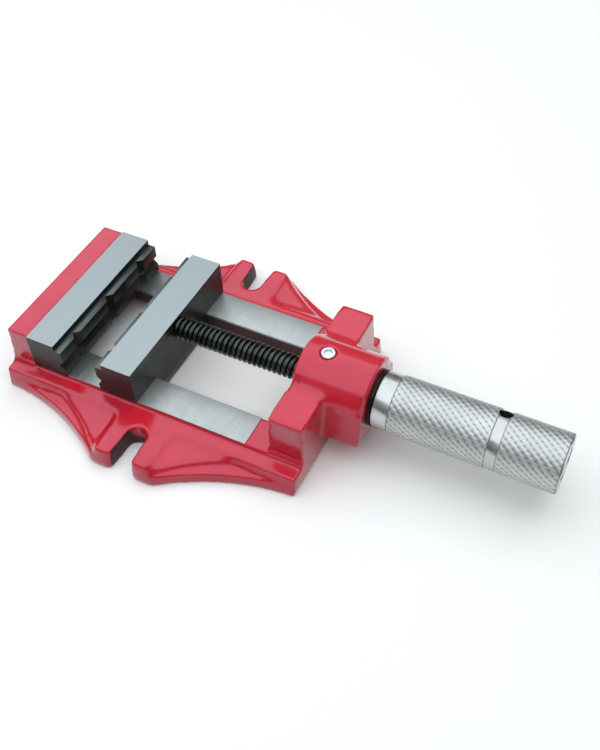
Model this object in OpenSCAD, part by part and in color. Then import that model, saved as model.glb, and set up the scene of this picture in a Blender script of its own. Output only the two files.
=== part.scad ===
// Drill press vise of the 100 mm class.
// A cast bed carries two ground rails, a fixed jaw and a sliding jaw with stepped faces. The sliding jaw holds
// a threaded spindle that does not turn. The hollow knurled handle holds the nut and turns in the boss, so it
// draws the spindle in to open the jaws and pushes it out to close them.
// Millimetres. X runs across the bed, -Y points to the handle, Z is up from the table.

/* [Base casting] */
// Length of the bed along the wings
base_len = 188; // [176:1:210]
// How far the bed's foot runs back past the wings
bed_tail = 3; // [1:0.1:5]
// Width of the bed at its ends
end_w = 119; // [114:1:126]
// Width over the wing lobes
lobe_w = 174; // [166:1:190]
// Radius of the hollow sides between the ends and the lobes
waist_r = 130.5; // [120:0.5:145]
// Distance of the hollow sides' centres past the ends
waist_past = 6; // [2:0.5:12]
// Height of the thin outer flange
flange_h = 7; // [6:0.1:9]
// Height of the triangular webs
web_h = 10.8; // [9.5:0.1:11.8]
// How far the webs' hollow edge lies inside the flange
web_inset = 10.8; // [9:0.1:15]
// How much farther past the ends the webs' hollow edges have their centres
web_past = 9; // [5:0.5:12]
// Height of the shoulder beside the rails and of the slot pads
band_h = 13; // [12.2:0.1:13.6]
// Length of a slot pad along the bed, at the lobe's edge
pad_len = 34.5; // [30:0.5:37]
// How much longer a slot pad is at the shoulder, at each end
pad_flare = 1; // [0.5:0.5:5]
// Radius between a pad and the shoulder
pad_fillet = 5; // [3:0.5:8]
// Height of the ground rails
rail_h = 16; // [15.5:0.1:18]
// Width over the two rails
rails_w = 97.6; // [94:0.1:104]
// Width of the open bed between the rails
bed_w = 57.2; // [52:0.1:62]
// How far the open bed runs back under the fixed jaw
open_under = 12.5; // [9:0.5:15]
// Length of the ground part of a rail in front of the fixed jaw
rail_len = 117; // [100:1:120]
// Width of a clamp slot
slot_w = 12.4; // [10:0.1:14]
// Length of a clamp slot from the lobe's edge to its round end
slot_len = 23.5; // [17:0.5:25]
// Radius of the lobes' outer corners
lobe_round = 3; // [2:0.5:6]
// Radius of the lobes' corners at the slots
mouth_round = 2.5; // [1:0.1:4]

/* [Fixed jaw] */
// Width of both jaws
jaw_w = 100; // [96:1:110]
// Height of both jaws above the rails
jaw_h = 23.3; // [22:0.1:27]
// Thickness of the back wall, without the tail of the bed
wall_t = 13.1; // [12:0.1:16]
// Width of the back wall
wall_w = 99; // [92:1:106]
// How far the back wall's rear face leans in at its top
wall_lean = 2.4; // [1:0.1:4]
// Radius between the back wall's ends and the shoulder
wall_fillet = 5; // [3:0.5:7]
// Thickness of the fixed jaw plate at its top
plate_t = 18.4; // [17:0.1:22]
// How far the lower part of a clamping face stands proud of its top
ledge = 4.5; // [3:0.1:6]
// Height of the set-back top of a clamping face
lip_h = 3.8; // [3:0.1:5]
// Height of the long V-groove above the rails
vee_z = 8.5; // [6:0.1:11]
// Depth of the V-grooves
vee_d = 3.2; // [2:0.1:3.6]
// Number of upright V-grooves in a jaw
vee_count = 3; // [1:1:5]
// Spacing of the two jaw screws
jaw_screw_gap = 56; // [44:1:66]
// Radius of a jaw screw's shank
jaw_screw_r = 3; // [2.5:0.1:4]
// Depth of a jaw screw's hole in the plate
jaw_screw_in = 12; // [9:0.5:14]
// Thickness of a spring washer
spring_t = 1.5; // [1:0.1:2]
// Radius of a locating dowel
dowel_r = 2.5; // [2:0.1:3]
// Length of a locating dowel
dowel_len = 14; // [10:0.5:18]
// Height of the dowels above the rails
dowel_up = 6; // [4:0.5:9]
// Distance of a dowel from the jaw screw beside it
dowel_in = 12; // [9:0.5:16]

/* [Sliding jaw] */
// Thickness of the sliding jaw at its top
slide_t = 19.6; // [18:0.1:24]
// Opening between the jaws' top edges
opening = 32.2; // [20:0.1:44]
// Thickness of the keeper plate under the rails
keeper_t = 4.5; // [4:0.1:5]
// Height of the keeper plate above the table
keeper_z = 1.5; // [1:0.1:2]
// Width of the keeper plate
keeper_w = 84; // [76:1:90]
// Spacing of the keeper screws
keeper_gap = 34; // [28:1:40]
// Radius of a keeper screw's shank
keeper_screw_r = 2.5; // [2:0.1:3]
// How far a keeper screw goes into the sliding jaw
keeper_screw_in = 10; // [7:0.5:12]

/* [Spindle and boss] */
// Height of the spindle above the rails
axis_h = 16; // [15:0.1:17]
// Outer radius of the spindle's thread
thread_r = 7; // [6.6:0.1:7.8]
// Depth of the thread
thread_d = 1.6; // [1.2:0.1:1.8]
// Pitch of the thread
pitch = 3.2; // [2.8:0.1:4.8]
// Radius of the spindle's plain end in the sliding jaw
spigot_r = 5; // [4:0.1:5.4]
// Length of that plain end
spigot_len = 15; // [13:0.5:16.5]
// Distance of the stop ring's groove from the spindle's end
stop_in = 3.5; // [2.5:0.1:5]
// Thickness of the stop ring
stop_t = 1.4; // [1:0.1:2]
// Radius of the spindle's cross pin
pin_r = 2; // [1.5:0.1:2.4]
// Thickness of the front block
block_t = 21; // [18:0.5:24]
// Width of the front block
block_w = 94; // [90:1:97]
// Height of the front block above the rails
block_h = 27.4; // [25:0.1:29]
// How far the boss stands in front of the block
boss_out = 22; // [18:0.5:26]
// Radius of the arched top of the boss
arch_r = 23.3; // [22:0.1:25]
// Height of the arch's centre above the rails
arch_h = 15.5; // [14.5:0.1:16.5]
// Half width of the boss at its underside
boss_foot = 26; // [24.5:0.5:30]
// Height above the arch's centre at which the boss's straight sides meet it
arch_join = 6; // [3:0.5:9]
// Radius between the arch and the block's steps
arch_fillet = 5; // [3:0.1:6]
// Radius of the nut's journal in the boss
journal_r = 10.8; // [10.4:0.1:11.4]
// Wall of the bushes
bush_t = 2; // [1.5:0.1:2.4]
// Length of the rear bush
bush_rear = 7.5; // [6:0.1:8.5]
// Length of the front bush
bush_front = 18; // [14:0.5:20]
// Distance of the retaining screw from the block's rear
keep_in = 13.7; // [12.5:0.1:14]
// Radius of the retaining screw's shank
keep_r = 2.5; // [2:0.1:2.8]
// Radius of the retaining screw's head
keep_head_r = 4.2; // [3.8:0.1:5]
// Height of the retaining screw's head
keep_head_h = 2.6; // [2:0.1:3.2]

/* [Handle] */
// Thickness of the thrust washer
washer_t = 2.2; // [1.5:0.1:3]
// Radius of the thrust washer
washer_r = 16.2; // [15.5:0.1:18.5]
// Length of the grip
grip_len = 104; // [98:0.5:120]
// Radius of the grip over the knurl
grip_r = 16.8; // [15.5:0.1:18]
// Length of the smooth collar
collar_len = 9.5; // [8:0.5:14]
// Distance of the turned ring from the grip's near end
ring_at = 67.5; // [60:0.5:74]
// Width of the turned ring
ring_w = 5.5; // [4:0.1:8]
// Depth of the turned ring and of the collar below the knurl
ring_d = 0.5; // [0.3:0.1:1]
// Radius of the cross hole
cross_r = 4; // [3:0.1:4.8]
// Tilt of the cross hole from upright
cross_tilt = 24; // [0:1:60]
// Radius of the hollow in the grip
hollow_r = 9.4; // [9:0.1:9.8]
// Length of the nut's tail inside the grip
tail_len = 24; // [20:0.5:30]
// Thickness of the end plug
plug_t = 4; // [3:0.1:6]

/* [Fits] */
// Gap between sliding faces
slide_gap = 0.1; // [0.05:0.01:0.2]
// Radial gap of running fits
run_gap = 0.06; // [0.03:0.01:0.1]
// Radial gap of fixed pins and screws in their holes
fit_gap = 0.05; // [0.02:0.01:0.1]
// Free depth past the tip of a screw in its hole
tip_gap = 1; // [0.5:0.1:2]
// Side gap of the sliding jaw's tongue
side_gap = 0.3; // [0.1:0.05:0.5]

/* [Hidden] */
$fn = 64;
eps = 0.01;
// Places along the bed, from the back to the handle, with the whole length centred on Y = 0
total_len = bed_tail + base_len + boss_out + washer_t + slide_gap + grip_len;
y_back = total_len / 2;
y_bed = y_back - bed_tail;
y_mid = y_bed - base_len / 2;
y_wall = y_bed - wall_t;
y_lip = y_wall - plate_t;
y_face = y_lip - ledge;
y_open = y_face + open_under;
y_slip = y_lip - opening;
y_sface = y_slip + ledge;
y_sback = y_slip - slide_t;
y_front = y_bed - base_len;
y_block = y_front + block_t;
y_boss = y_front - boss_out;
y_washer = y_boss - washer_t;
y_grip = y_washer - slide_gap;
y_end = y_grip - grip_len;
y_keep = y_block - keep_in;
y_nut = y_block - 1.5;
y_tail = y_grip - tail_len;
y_pin = y_sback + spigot_len / 2;
// The spindle still fills the nut when the jaws are shut
close_travel = opening - 2 * ledge;
y_rod = y_boss - close_travel - stop_in - slide_gap;
y_stop = y_rod + stop_in - slide_gap / 2;
// Heights above the table
jaw_top = rail_h + jaw_h;
slide_z = rail_h + slide_gap;
axis_z = rail_h + axis_h;
arch_z = rail_h + arch_h;
arch_top = arch_z + arch_r;
step_z = rail_h + block_h;
boss_z = rail_h - 0.5;
keeper_top = keeper_z + keeper_t;
recess_h = keeper_top + slide_gap;
screw_z = rail_h + jaw_h / 2;
dowel_z = rail_h + dowel_up;
dowel_x = jaw_screw_gap / 2 - dowel_in;
vee_step = jaw_w / vee_count;
head_r = jaw_screw_r * 5 / 3;
head_h = jaw_screw_r * 2;
seat_y = y_wall + wall_t * 0.42;
pad_root = pad_len / 2 + pad_flare;
bush_r = journal_r + run_gap + bush_t;
groove_d = 2.4;
keep_tip_r = keep_r - 0.5;
keep_tip_z = axis_z + journal_r - groove_d + 0.4;
keep_seat = arch_top - keep_head_h - 0.2;
stop_r = thread_r + 1.2;
set_r = 2.5;
set_y = y_grip - collar_len / 2;
ring_r = grip_r - ring_d;

// Draws its children on both sides of the bed.
module both_sides() {
    children();
    mirror([1, 0, 0]) children();
}

// Draws its children towards both ends of the bed.
module both_ends() {
    children();
    mirror([0, 1, 0]) children();
}

// A round bar along -Y from y, centred on the spindle's axis.
module bar(y, length, r) {
    translate([0, y, axis_z]) rotate([90, 0, 0]) cylinder(r = r, h = length);
}

// A turned body along -Y from y: profile holds [radius, distance] pairs.
module turned(y, profile) {
    translate([0, y, axis_z]) rotate([90, 0, 0]) rotate_extrude() polygon(profile);
}

// A block given by its low and high corners.
module block(low, high) {
    translate(low) cube(high - low);
}

// One hexagon socket of depth d, opening at z = 0 and going down.
module hex_socket(r, d) {
    translate([0, 0, -d]) cylinder(r = r, h = d + eps, $fn = 6);
}

// The clamp slots as a plan shape.
module slot_plan() {
    both_sides() translate([lobe_w / 2 - slot_len + slot_w / 2, 0]) {
        circle(d = slot_w);
        translate([0, -slot_w / 2]) square([slot_len, slot_w]);
    }
}

// What the lobes' rounded corners leave out of the plan.
module corner_plan() {
    cx = end_w / 2 + waist_r;
    cy = base_len / 2 + waist_past;
    x = lobe_w / 2 - lobe_round;
    reach = waist_r + lobe_round;
    y = cy - sqrt(reach * reach - (cx - x) * (cx - x));
    touch = [x, y] + ([cx, cy] - [x, y]) * (lobe_round / reach);
    mouth = [lobe_w / 2 - mouth_round, slot_w / 2 + mouth_round];
    both_sides() both_ends() {
        difference() {
            polygon([[x, y], [lobe_w / 2 + 1, y], [lobe_w / 2 + 1, y + lobe_round], touch + ([cx, cy] - touch) * 0.03, touch]);
            translate([x, y]) circle(lobe_round);
        }
        difference() {
            translate(mouth - [0, mouth_round]) square([mouth_round + 1, mouth_round]);
            translate(mouth) circle(mouth_round);
        }
    }
}

// A hollow side's circle, moved towards the bed by inset and outwards past the ends by past.
module waist(inset, past) {
    both_sides() both_ends()
        translate([end_w / 2 + waist_r - inset, base_len / 2 + past]) circle(waist_r, $fn = 128);
}

// The flange's plan: a plate with four hollow sides and two slots.
module flange_plan() {
    difference() {
        square([lobe_w, base_len], center = true);
        waist(0, waist_past);
        slot_plan();
        corner_plan();
    }
}

// The webs' plan, inside the flange.
module web_plan() {
    difference() {
        square([lobe_w, base_len - 2 * waist_past], center = true);
        waist(0, waist_past);
        waist(web_inset, waist_past + web_past);
        slot_plan();
        corner_plan();
    }
}

// The slot pads' plan, with a fillet to the shoulder at each corner.
module pad_plan() {
    difference() {
        union() {
            both_sides() polygon([[0, -pad_root], [end_w / 2, -pad_root], [lobe_w / 2, -pad_len / 2],
                [lobe_w / 2, pad_len / 2], [end_w / 2, pad_root], [0, pad_root]]);
            both_sides() both_ends() translate([end_w / 2 - eps, pad_root - eps]) difference() {
                translate([0, -pad_fillet / 2]) square([pad_fillet, pad_fillet * 3 / 2]);
                translate([pad_fillet, pad_fillet]) circle(pad_fillet);
                translate([pad_fillet, -pad_fillet / 2]) square(pad_fillet);
            }
        }
        slot_plan();
        corner_plan();
    }
}

// The back wall seen from the handle, with fillets to the shoulder.
module wall_front() {
    r = min(wall_fillet, (end_w - wall_w) / 2 - 1);
    translate([-wall_w / 2, 0]) square([wall_w, jaw_top]);
    both_sides() translate([wall_w / 2, band_h]) difference() {
        translate([-1, -1]) square(r + 1);
        translate([r, r]) circle(r);
    }
}

// The back wall's side profile as [y, z], with its leaning rear face.
module wall_side() {
    polygon([[y_wall, 0], [y_wall, jaw_top], [y_back - wall_lean, jaw_top], [y_back, band_h], [y_back, 0]]);
}

// The front block and boss seen from the handle.
module boss_plan() {
    top_z = arch_z + arch_join;
    top_x = sqrt(arch_r * arch_r - arch_join * arch_join);
    translate([0, arch_z]) circle(arch_r, $fn = 96);
    polygon([[-boss_foot, boss_z], [boss_foot, boss_z], [top_x, top_z], [-top_x, top_z]]);
}

// The fillets between the arch and the block's steps.
module arch_fillets() {
    rise = step_z + arch_fillet - arch_z;
    reach = arch_r + arch_fillet;
    cx = sqrt(reach * reach - rise * rise);
    touch_x = cx * arch_r / reach;
    touch_z = arch_z + rise * arch_r / reach;
    difference() {
        polygon([[-cx, step_z - 1], [cx, step_z - 1], [cx, step_z + arch_fillet], [touch_x, touch_z],
            [-touch_x, touch_z], [-cx, step_z + arch_fillet]]);
        both_sides() translate([cx, step_z + arch_fillet]) circle(arch_fillet);
    }
}

// The jaw screws' and dowels' places along X.
module at_jaw_screws() {
    for (x = [-jaw_screw_gap / 2, jaw_screw_gap / 2]) translate([x, 0, screw_z]) children();
}

module at_dowels() {
    for (x = [-dowel_x, dowel_x]) translate([x, 0, dowel_z]) children();
}

module at_keeper_screws() {
    for (x = [-keeper_gap / 2, keeper_gap / 2]) translate([x, (y_sback + y_slip) / 2, keeper_z]) children();
}

// The upright V-grooves of a clamping face at y, cut towards sign.
module vees(y, sign) {
    for (i = [0 : vee_count - 1])
        translate([(i - (vee_count - 1) / 2) * vee_step, y, rail_h - 1])
            linear_extrude(jaw_h - lip_h + 1 + eps)
                polygon([[-vee_d - 1, -sign], [vee_d + 1, -sign], [0, sign * vee_d]]);
}

// A jaw's side profile as [y, z]: back at y0, set-back top at y1, clamping face at y2, foot at z0.
module jaw_body(y0, y1, y2, z0) {
    s = sign(y1 - y0);
    rotate([90, 0, 90]) linear_extrude(jaw_w, center = true)
        polygon([[y0, z0], [y0, jaw_top], [y1, jaw_top], [y1, jaw_top - lip_h], [y2, jaw_top - lip_h],
            [y2, rail_h + vee_z + vee_d], [y2 - s * vee_d, rail_h + vee_z], [y2, rail_h + vee_z - vee_d], [y2, z0]]);
}

module base_casting() {
    color([0.78, 0.07, 0.12]) difference() {
        union() {
            translate([0, y_mid, 0]) linear_extrude(flange_h) flange_plan();
            translate([0, y_mid, 0]) linear_extrude(web_h) web_plan();
            translate([0, y_mid, 0]) linear_extrude(band_h) pad_plan();
            block([-end_w / 2, y_front, 0], [end_w / 2, y_back, band_h]);
            block([-rails_w / 2, y_front, 0], [rails_w / 2, y_bed, rail_h]);
            intersection() {
                rotate([90, 0, 90]) linear_extrude(end_w, center = true) wall_side();
                translate([0, y_back + 1, 0]) rotate([90, 0, 0]) linear_extrude(y_back + 2 - y_wall) wall_front();
            }
            block([-block_w / 2, y_front, 0], [block_w / 2, y_block, step_z]);
            translate([0, y_block, 0]) rotate([90, 0, 0]) linear_extrude(block_t + boss_out) boss_plan();
            translate([0, y_block, 0]) rotate([90, 0, 0]) linear_extrude(block_t) arch_fillets();
        }
        // Open bed and the undercut for the keeper plate
        block([-bed_w / 2, y_block, -1], [bed_w / 2, y_open, rail_h + 1]);
        block([-keeper_w / 2 - 2, y_block, -1], [keeper_w / 2 + 2, y_open, recess_h]);
        // Unground ends of the rails
        both_sides() block([bed_w / 2, y_block - eps, rail_h - 0.3], [rails_w / 2 + 1, y_face - rail_len, rail_h + 1]);
        bar(y_block + 1, block_t + boss_out + 2, bush_r + fit_gap);
        // Retaining screw
        translate([0, y_keep, axis_z]) cylinder(r = keep_r + fit_gap, h = arch_top);
        translate([0, y_keep, keep_seat]) cylinder(r = keep_head_r + 0.5, h = 10);
        // Jaw screws and dowels
        at_jaw_screws() {
            translate([0, y_back + 1, 0]) rotate([90, 0, 0]) cylinder(r = jaw_screw_r + fit_gap, h = y_back - y_wall + 2);
            translate([0, y_back + 1, 0]) rotate([90, 0, 0]) cylinder(r = head_r + 0.5, h = y_back + 1 - seat_y);
        }
        at_dowels() translate([0, y_wall + dowel_len / 2, 0]) rotate([90, 0, 0])
            cylinder(r = dowel_r + fit_gap, h = dowel_len);
    }
}

module fixed_jaw_plate() {
    color([0.15, 0.15, 0.14]) difference() {
        jaw_body(y_wall, y_lip, y_face, rail_h);
        vees(y_face, 1);
        at_jaw_screws() translate([0, y_wall + 1, 0]) rotate([90, 0, 0])
            cylinder(r = jaw_screw_r + fit_gap, h = jaw_screw_in + tip_gap + 1);
        at_dowels() translate([0, y_wall + dowel_len / 2, 0]) rotate([90, 0, 0])
            cylinder(r = dowel_r + fit_gap, h = dowel_len);
    }
}

module fixed_jaw_screws() {
    color([0.2, 0.2, 0.21]) at_jaw_screws() difference() {
        union() {
            translate([0, seat_y + spring_t + head_h, 0]) rotate([90, 0, 0]) cylinder(r = head_r, h = head_h);
            translate([0, seat_y + spring_t + eps, 0]) rotate([90, 0, 0])
                cylinder(r = jaw_screw_r, h = seat_y + spring_t - y_wall + jaw_screw_in);
        }
        translate([0, seat_y + spring_t + head_h, 0]) rotate([-90, 0, 0])
            hex_socket(head_r * 0.58, head_h * 0.5);
    }
}

module fixed_jaw_washers() {
    color([0.55, 0.56, 0.57]) at_jaw_screws() translate([0, seat_y + spring_t, 0]) rotate([90, 0, 0]) difference() {
        cylinder(r = head_r + 0.3, h = spring_t);
        translate([0, 0, -1]) cylinder(r = jaw_screw_r + fit_gap, h = spring_t + 2);
    }
}

module fixed_jaw_dowels() {
    color([0.62, 0.63, 0.64]) at_dowels() translate([0, y_wall + dowel_len / 2, 0]) rotate([90, 0, 0])
        cylinder(r = dowel_r, h = dowel_len);
}

module movable_jaw() {
    color([0.14, 0.14, 0.13]) difference() {
        union() {
            jaw_body(y_sback, y_slip, y_sface, slide_z);
            block([-bed_w / 2 + side_gap, y_sback, keeper_top], [bed_w / 2 - side_gap, y_slip, slide_z + 1]);
        }
        vees(y_sface, -1);
        bar(y_sback + spigot_len, spigot_len + 1, spigot_r + fit_gap);
        translate([0, y_pin, keeper_top - 1]) cylinder(r = pin_r + fit_gap, h = axis_z - keeper_top + 1 + spigot_r);
        at_keeper_screws() cylinder(r = keeper_screw_r + fit_gap, h = keeper_t + keeper_screw_in + tip_gap);
    }
}

module spindle() {
    count = floor((y_sback - y_rod - stop_in) / pitch);
    tail = y_sback - y_rod;
    groove = spigot_len + tail - stop_in;
    root = thread_r - thread_d;
    color([0.2, 0.21, 0.2]) difference() {
        turned(y_sback + spigot_len, concat(
            [[0, 0], [spigot_r - 0.6, 0], [spigot_r, 0.6], [spigot_r, spigot_len], [thread_r, spigot_len]],
            [for (i = [0 : count - 1]) each [
                [thread_r, spigot_len + pitch * (i + 0.18)],
                [root, spigot_len + pitch * (i + 0.36)],
                [root, spigot_len + pitch * (i + 0.64)],
                [thread_r, spigot_len + pitch * (i + 0.82)]
            ]],
            [[thread_r, groove], [root, groove], [root, groove + stop_t + slide_gap],
                [thread_r - 0.6, groove + stop_t + slide_gap], [thread_r - 1.2, spigot_len + tail],
                [0, spigot_len + tail]]));
        translate([0, y_pin, axis_z - 10]) cylinder(r = pin_r + fit_gap, h = 10 + spigot_r - 1);
    }
}

module spindle_pin() {
    color([0.6, 0.61, 0.62]) translate([0, y_pin, keeper_top + 1])
        cylinder(r = pin_r, h = axis_z - keeper_top + spigot_r - 2.5);
}

module spindle_stop_ring() {
    root = thread_r - thread_d;
    color([0.3, 0.3, 0.31]) difference() {
        bar(y_stop, stop_t, stop_r);
        bar(y_stop + stop_t, 3 * stop_t, root + fit_gap);
        translate([0, y_stop + stop_t, axis_z]) rotate([90, 0, 0]) translate([-root / 3, -stop_r - 1, 0])
            cube([root * 2 / 3, stop_r, 3 * stop_t]);
    }
}

module keeper_plate() {
    color([0.24, 0.24, 0.23]) difference() {
        block([-keeper_w / 2, y_sback, keeper_z], [keeper_w / 2, y_slip, keeper_top]);
        at_keeper_screws() {
            translate([0, 0, -1]) cylinder(r = keeper_screw_r + fit_gap, h = keeper_t + 2);
            translate([0, 0, -eps])
                cylinder(r1 = 2 * keeper_screw_r + fit_gap, r2 = keeper_screw_r + fit_gap, h = keeper_screw_r + eps);
        }
    }
}

module keeper_screws() {
    color([0.3, 0.3, 0.31]) at_keeper_screws() difference() {
        union() {
            cylinder(r1 = 2 * keeper_screw_r, r2 = keeper_screw_r, h = keeper_screw_r);
            cylinder(r = keeper_screw_r, h = keeper_t + keeper_screw_in);
        }
        mirror([0, 0, 1]) hex_socket(keeper_screw_r * 0.6, 1.6);
    }
}

// A bush along -Y from y.
module bush(y, length) {
    color([0.72, 0.55, 0.28]) difference() {
        bar(y, length, bush_r);
        bar(y + 1, length + 2, journal_r + run_gap);
    }
}

module boss_bush_rear() {
    bush(y_block - 0.5, bush_rear);
}

module boss_bush_front() {
    bush(y_boss + bush_front, bush_front);
}

module retaining_screw() {
    color([0.82, 0.83, 0.84]) translate([0, y_keep, 0]) difference() {
        union() {
            translate([0, 0, keep_seat]) cylinder(r = keep_head_r, h = keep_head_h - 0.5);
            translate([0, 0, keep_seat + keep_head_h - 0.5 - eps])
                cylinder(r1 = keep_head_r, r2 = keep_head_r - 0.5, h = 0.5 + eps);
            translate([0, 0, keep_tip_z + 3]) cylinder(r = keep_r, h = keep_seat - keep_tip_z - 2.9);
            translate([0, 0, keep_tip_z]) cylinder(r = keep_tip_r, h = 3.1);
        }
        translate([0, 0, keep_seat + keep_head_h]) hex_socket(keep_r, keep_head_h);
    }
}

module thrust_washer() {
    color([0.06, 0.06, 0.06]) difference() {
        bar(y_boss, washer_t, washer_r);
        bar(y_boss + 1, washer_t + 2, journal_r + 0.3);
    }
}

module drive_nut() {
    at_keep = y_nut - y_keep;
    at_boss = y_nut - y_boss;
    at_tail = y_nut - y_tail;
    half = keep_tip_r + 0.3;
    bore = thread_r + run_gap;
    color([0.6, 0.58, 0.5]) turned(y_nut, [[bore, 0], [journal_r - 0.5, 0], [journal_r, 0.5],
        [journal_r, at_keep - half], [journal_r - groove_d, at_keep - half], [journal_r - groove_d, at_keep + half],
        [journal_r, at_keep + half], [journal_r, at_tail], [stop_r + 0.5, at_tail], [stop_r + 0.5, at_boss],
        [bore, at_boss]]);
}

module handle_grip() {
    ring0 = ring_at - ring_w / 2;
    ring1 = ring_at + ring_w / 2;
    color([0.7, 0.72, 0.72]) difference() {
        turned(y_grip, [[journal_r + fit_gap, 0], [ring_r - 0.8, 0], [ring_r, 0.8], [ring_r, collar_len],
            [grip_r, collar_len + ring_d], [grip_r, ring0 - ring_d], [ring_r, ring0], [ring_r, ring1],
            [grip_r, ring1 + ring_d], [grip_r, grip_len - 1.2], [grip_r - 1.2, grip_len], [hollow_r, grip_len],
            [hollow_r, tail_len + 0.2], [journal_r + fit_gap, tail_len + 0.2]]);
        translate([0, y_grip - ring_at, axis_z]) rotate([0, cross_tilt, 0])
            cylinder(r = cross_r, h = 3 * grip_r, center = true);
        translate([0, set_y, axis_z - grip_r - 1]) cylinder(r = set_r + fit_gap, h = grip_r - journal_r + 2);
    }
}

module handle_set_screw() {
    color([0.2, 0.2, 0.21]) translate([0, set_y, axis_z]) difference() {
        translate([0, 0, -ring_r + 0.8]) cylinder(r = set_r, h = ring_r - 0.8 - journal_r - 0.05);
        translate([0, 0, -ring_r + 0.8]) mirror([0, 0, 1]) hex_socket(set_r * 0.55, 2.5);
    }
}

module handle_end_plug() {
    color([0.6, 0.62, 0.62]) bar(y_end + plug_t + 0.4, plug_t, hollow_r - fit_gap);
}

base_casting();
fixed_jaw_plate();
fixed_jaw_screws();
fixed_jaw_washers();
fixed_jaw_dowels();
movable_jaw();
spindle();
spindle_pin();
spindle_stop_ring();
keeper_plate();
keeper_screws();
boss_bush_rear();
boss_bush_front();
retaining_screw();
thrust_washer();
drive_nut();
handle_grip();
handle_set_screw();
handle_end_plug();
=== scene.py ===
"""Looks of a drill press vise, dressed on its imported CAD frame.

The cast bed, jaws, spindle and handle are re-modelled over the solids they stand for, and every other node keeps its
shape and gets a finish. All sizes are metres in the frame of the solids: X across the bed, -Y to the handle, Z up.
"""

from __future__ import annotations

import logging
import math
from dataclasses import dataclass
from enum import Enum
from typing import Any, Iterable

import bmesh
import bpy
from mathutils import Matrix, Quaternion, Vector
from mathutils.kdtree import KDTree

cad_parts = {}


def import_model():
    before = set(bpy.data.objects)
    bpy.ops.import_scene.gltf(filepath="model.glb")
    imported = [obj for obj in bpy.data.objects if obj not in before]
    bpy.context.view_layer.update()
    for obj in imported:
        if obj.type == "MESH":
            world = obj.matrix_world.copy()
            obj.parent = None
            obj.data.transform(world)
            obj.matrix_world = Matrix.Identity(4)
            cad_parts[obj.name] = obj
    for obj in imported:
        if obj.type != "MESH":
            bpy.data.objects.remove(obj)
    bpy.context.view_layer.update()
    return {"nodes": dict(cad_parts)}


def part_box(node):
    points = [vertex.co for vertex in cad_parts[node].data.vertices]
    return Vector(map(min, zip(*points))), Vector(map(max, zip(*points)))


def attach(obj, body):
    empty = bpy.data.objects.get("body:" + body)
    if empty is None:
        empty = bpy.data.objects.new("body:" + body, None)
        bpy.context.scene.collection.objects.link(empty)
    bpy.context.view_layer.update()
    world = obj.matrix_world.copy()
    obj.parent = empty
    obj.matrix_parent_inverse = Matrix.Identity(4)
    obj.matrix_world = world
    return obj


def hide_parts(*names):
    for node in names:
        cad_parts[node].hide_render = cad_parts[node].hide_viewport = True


LOG = logging.getLogger("vise")
MM = 0.001
AXIS = 32.0 * MM  # height of the axis that the spindle and the handle share
MERGE = 1e-6  # points closer than this are one

Pair = tuple[float, float]
Triple = tuple[float, float, float]
Colour = Triple
Nodes = dict[str, bpy.types.Object]
Points = list[bmesh.types.BMVert]
Socket = bpy.types.NodeSocket


class Body(Enum):
    """The rigid bodies that pieces ride on."""

    BASE = "base"
    JAW = "jaw"
    HANDLE = "handle"


class Slot(Enum):
    """The names of the record's material slots, passed along with the new pieces."""

    ENAMEL = "red_enamel"
    BLACK_STEEL = "black_steel"
    DARK_STEEL = "dark_steel"
    BRIGHT_STEEL = "bright_steel"
    BLACK_RING = "black_ring"


class Lay(Enum):
    """The direction that machining marks run in, as the scale of the grain along X, Y and Z."""

    ACROSS = (0.04, 1.0, 1.0)
    ALONG = (1.0, 0.04, 1.0)
    TURNED = (0.05, 1.0, 0.05)
    NONE = (1.0, 1.0, 1.0)


# Shader helpers


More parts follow.
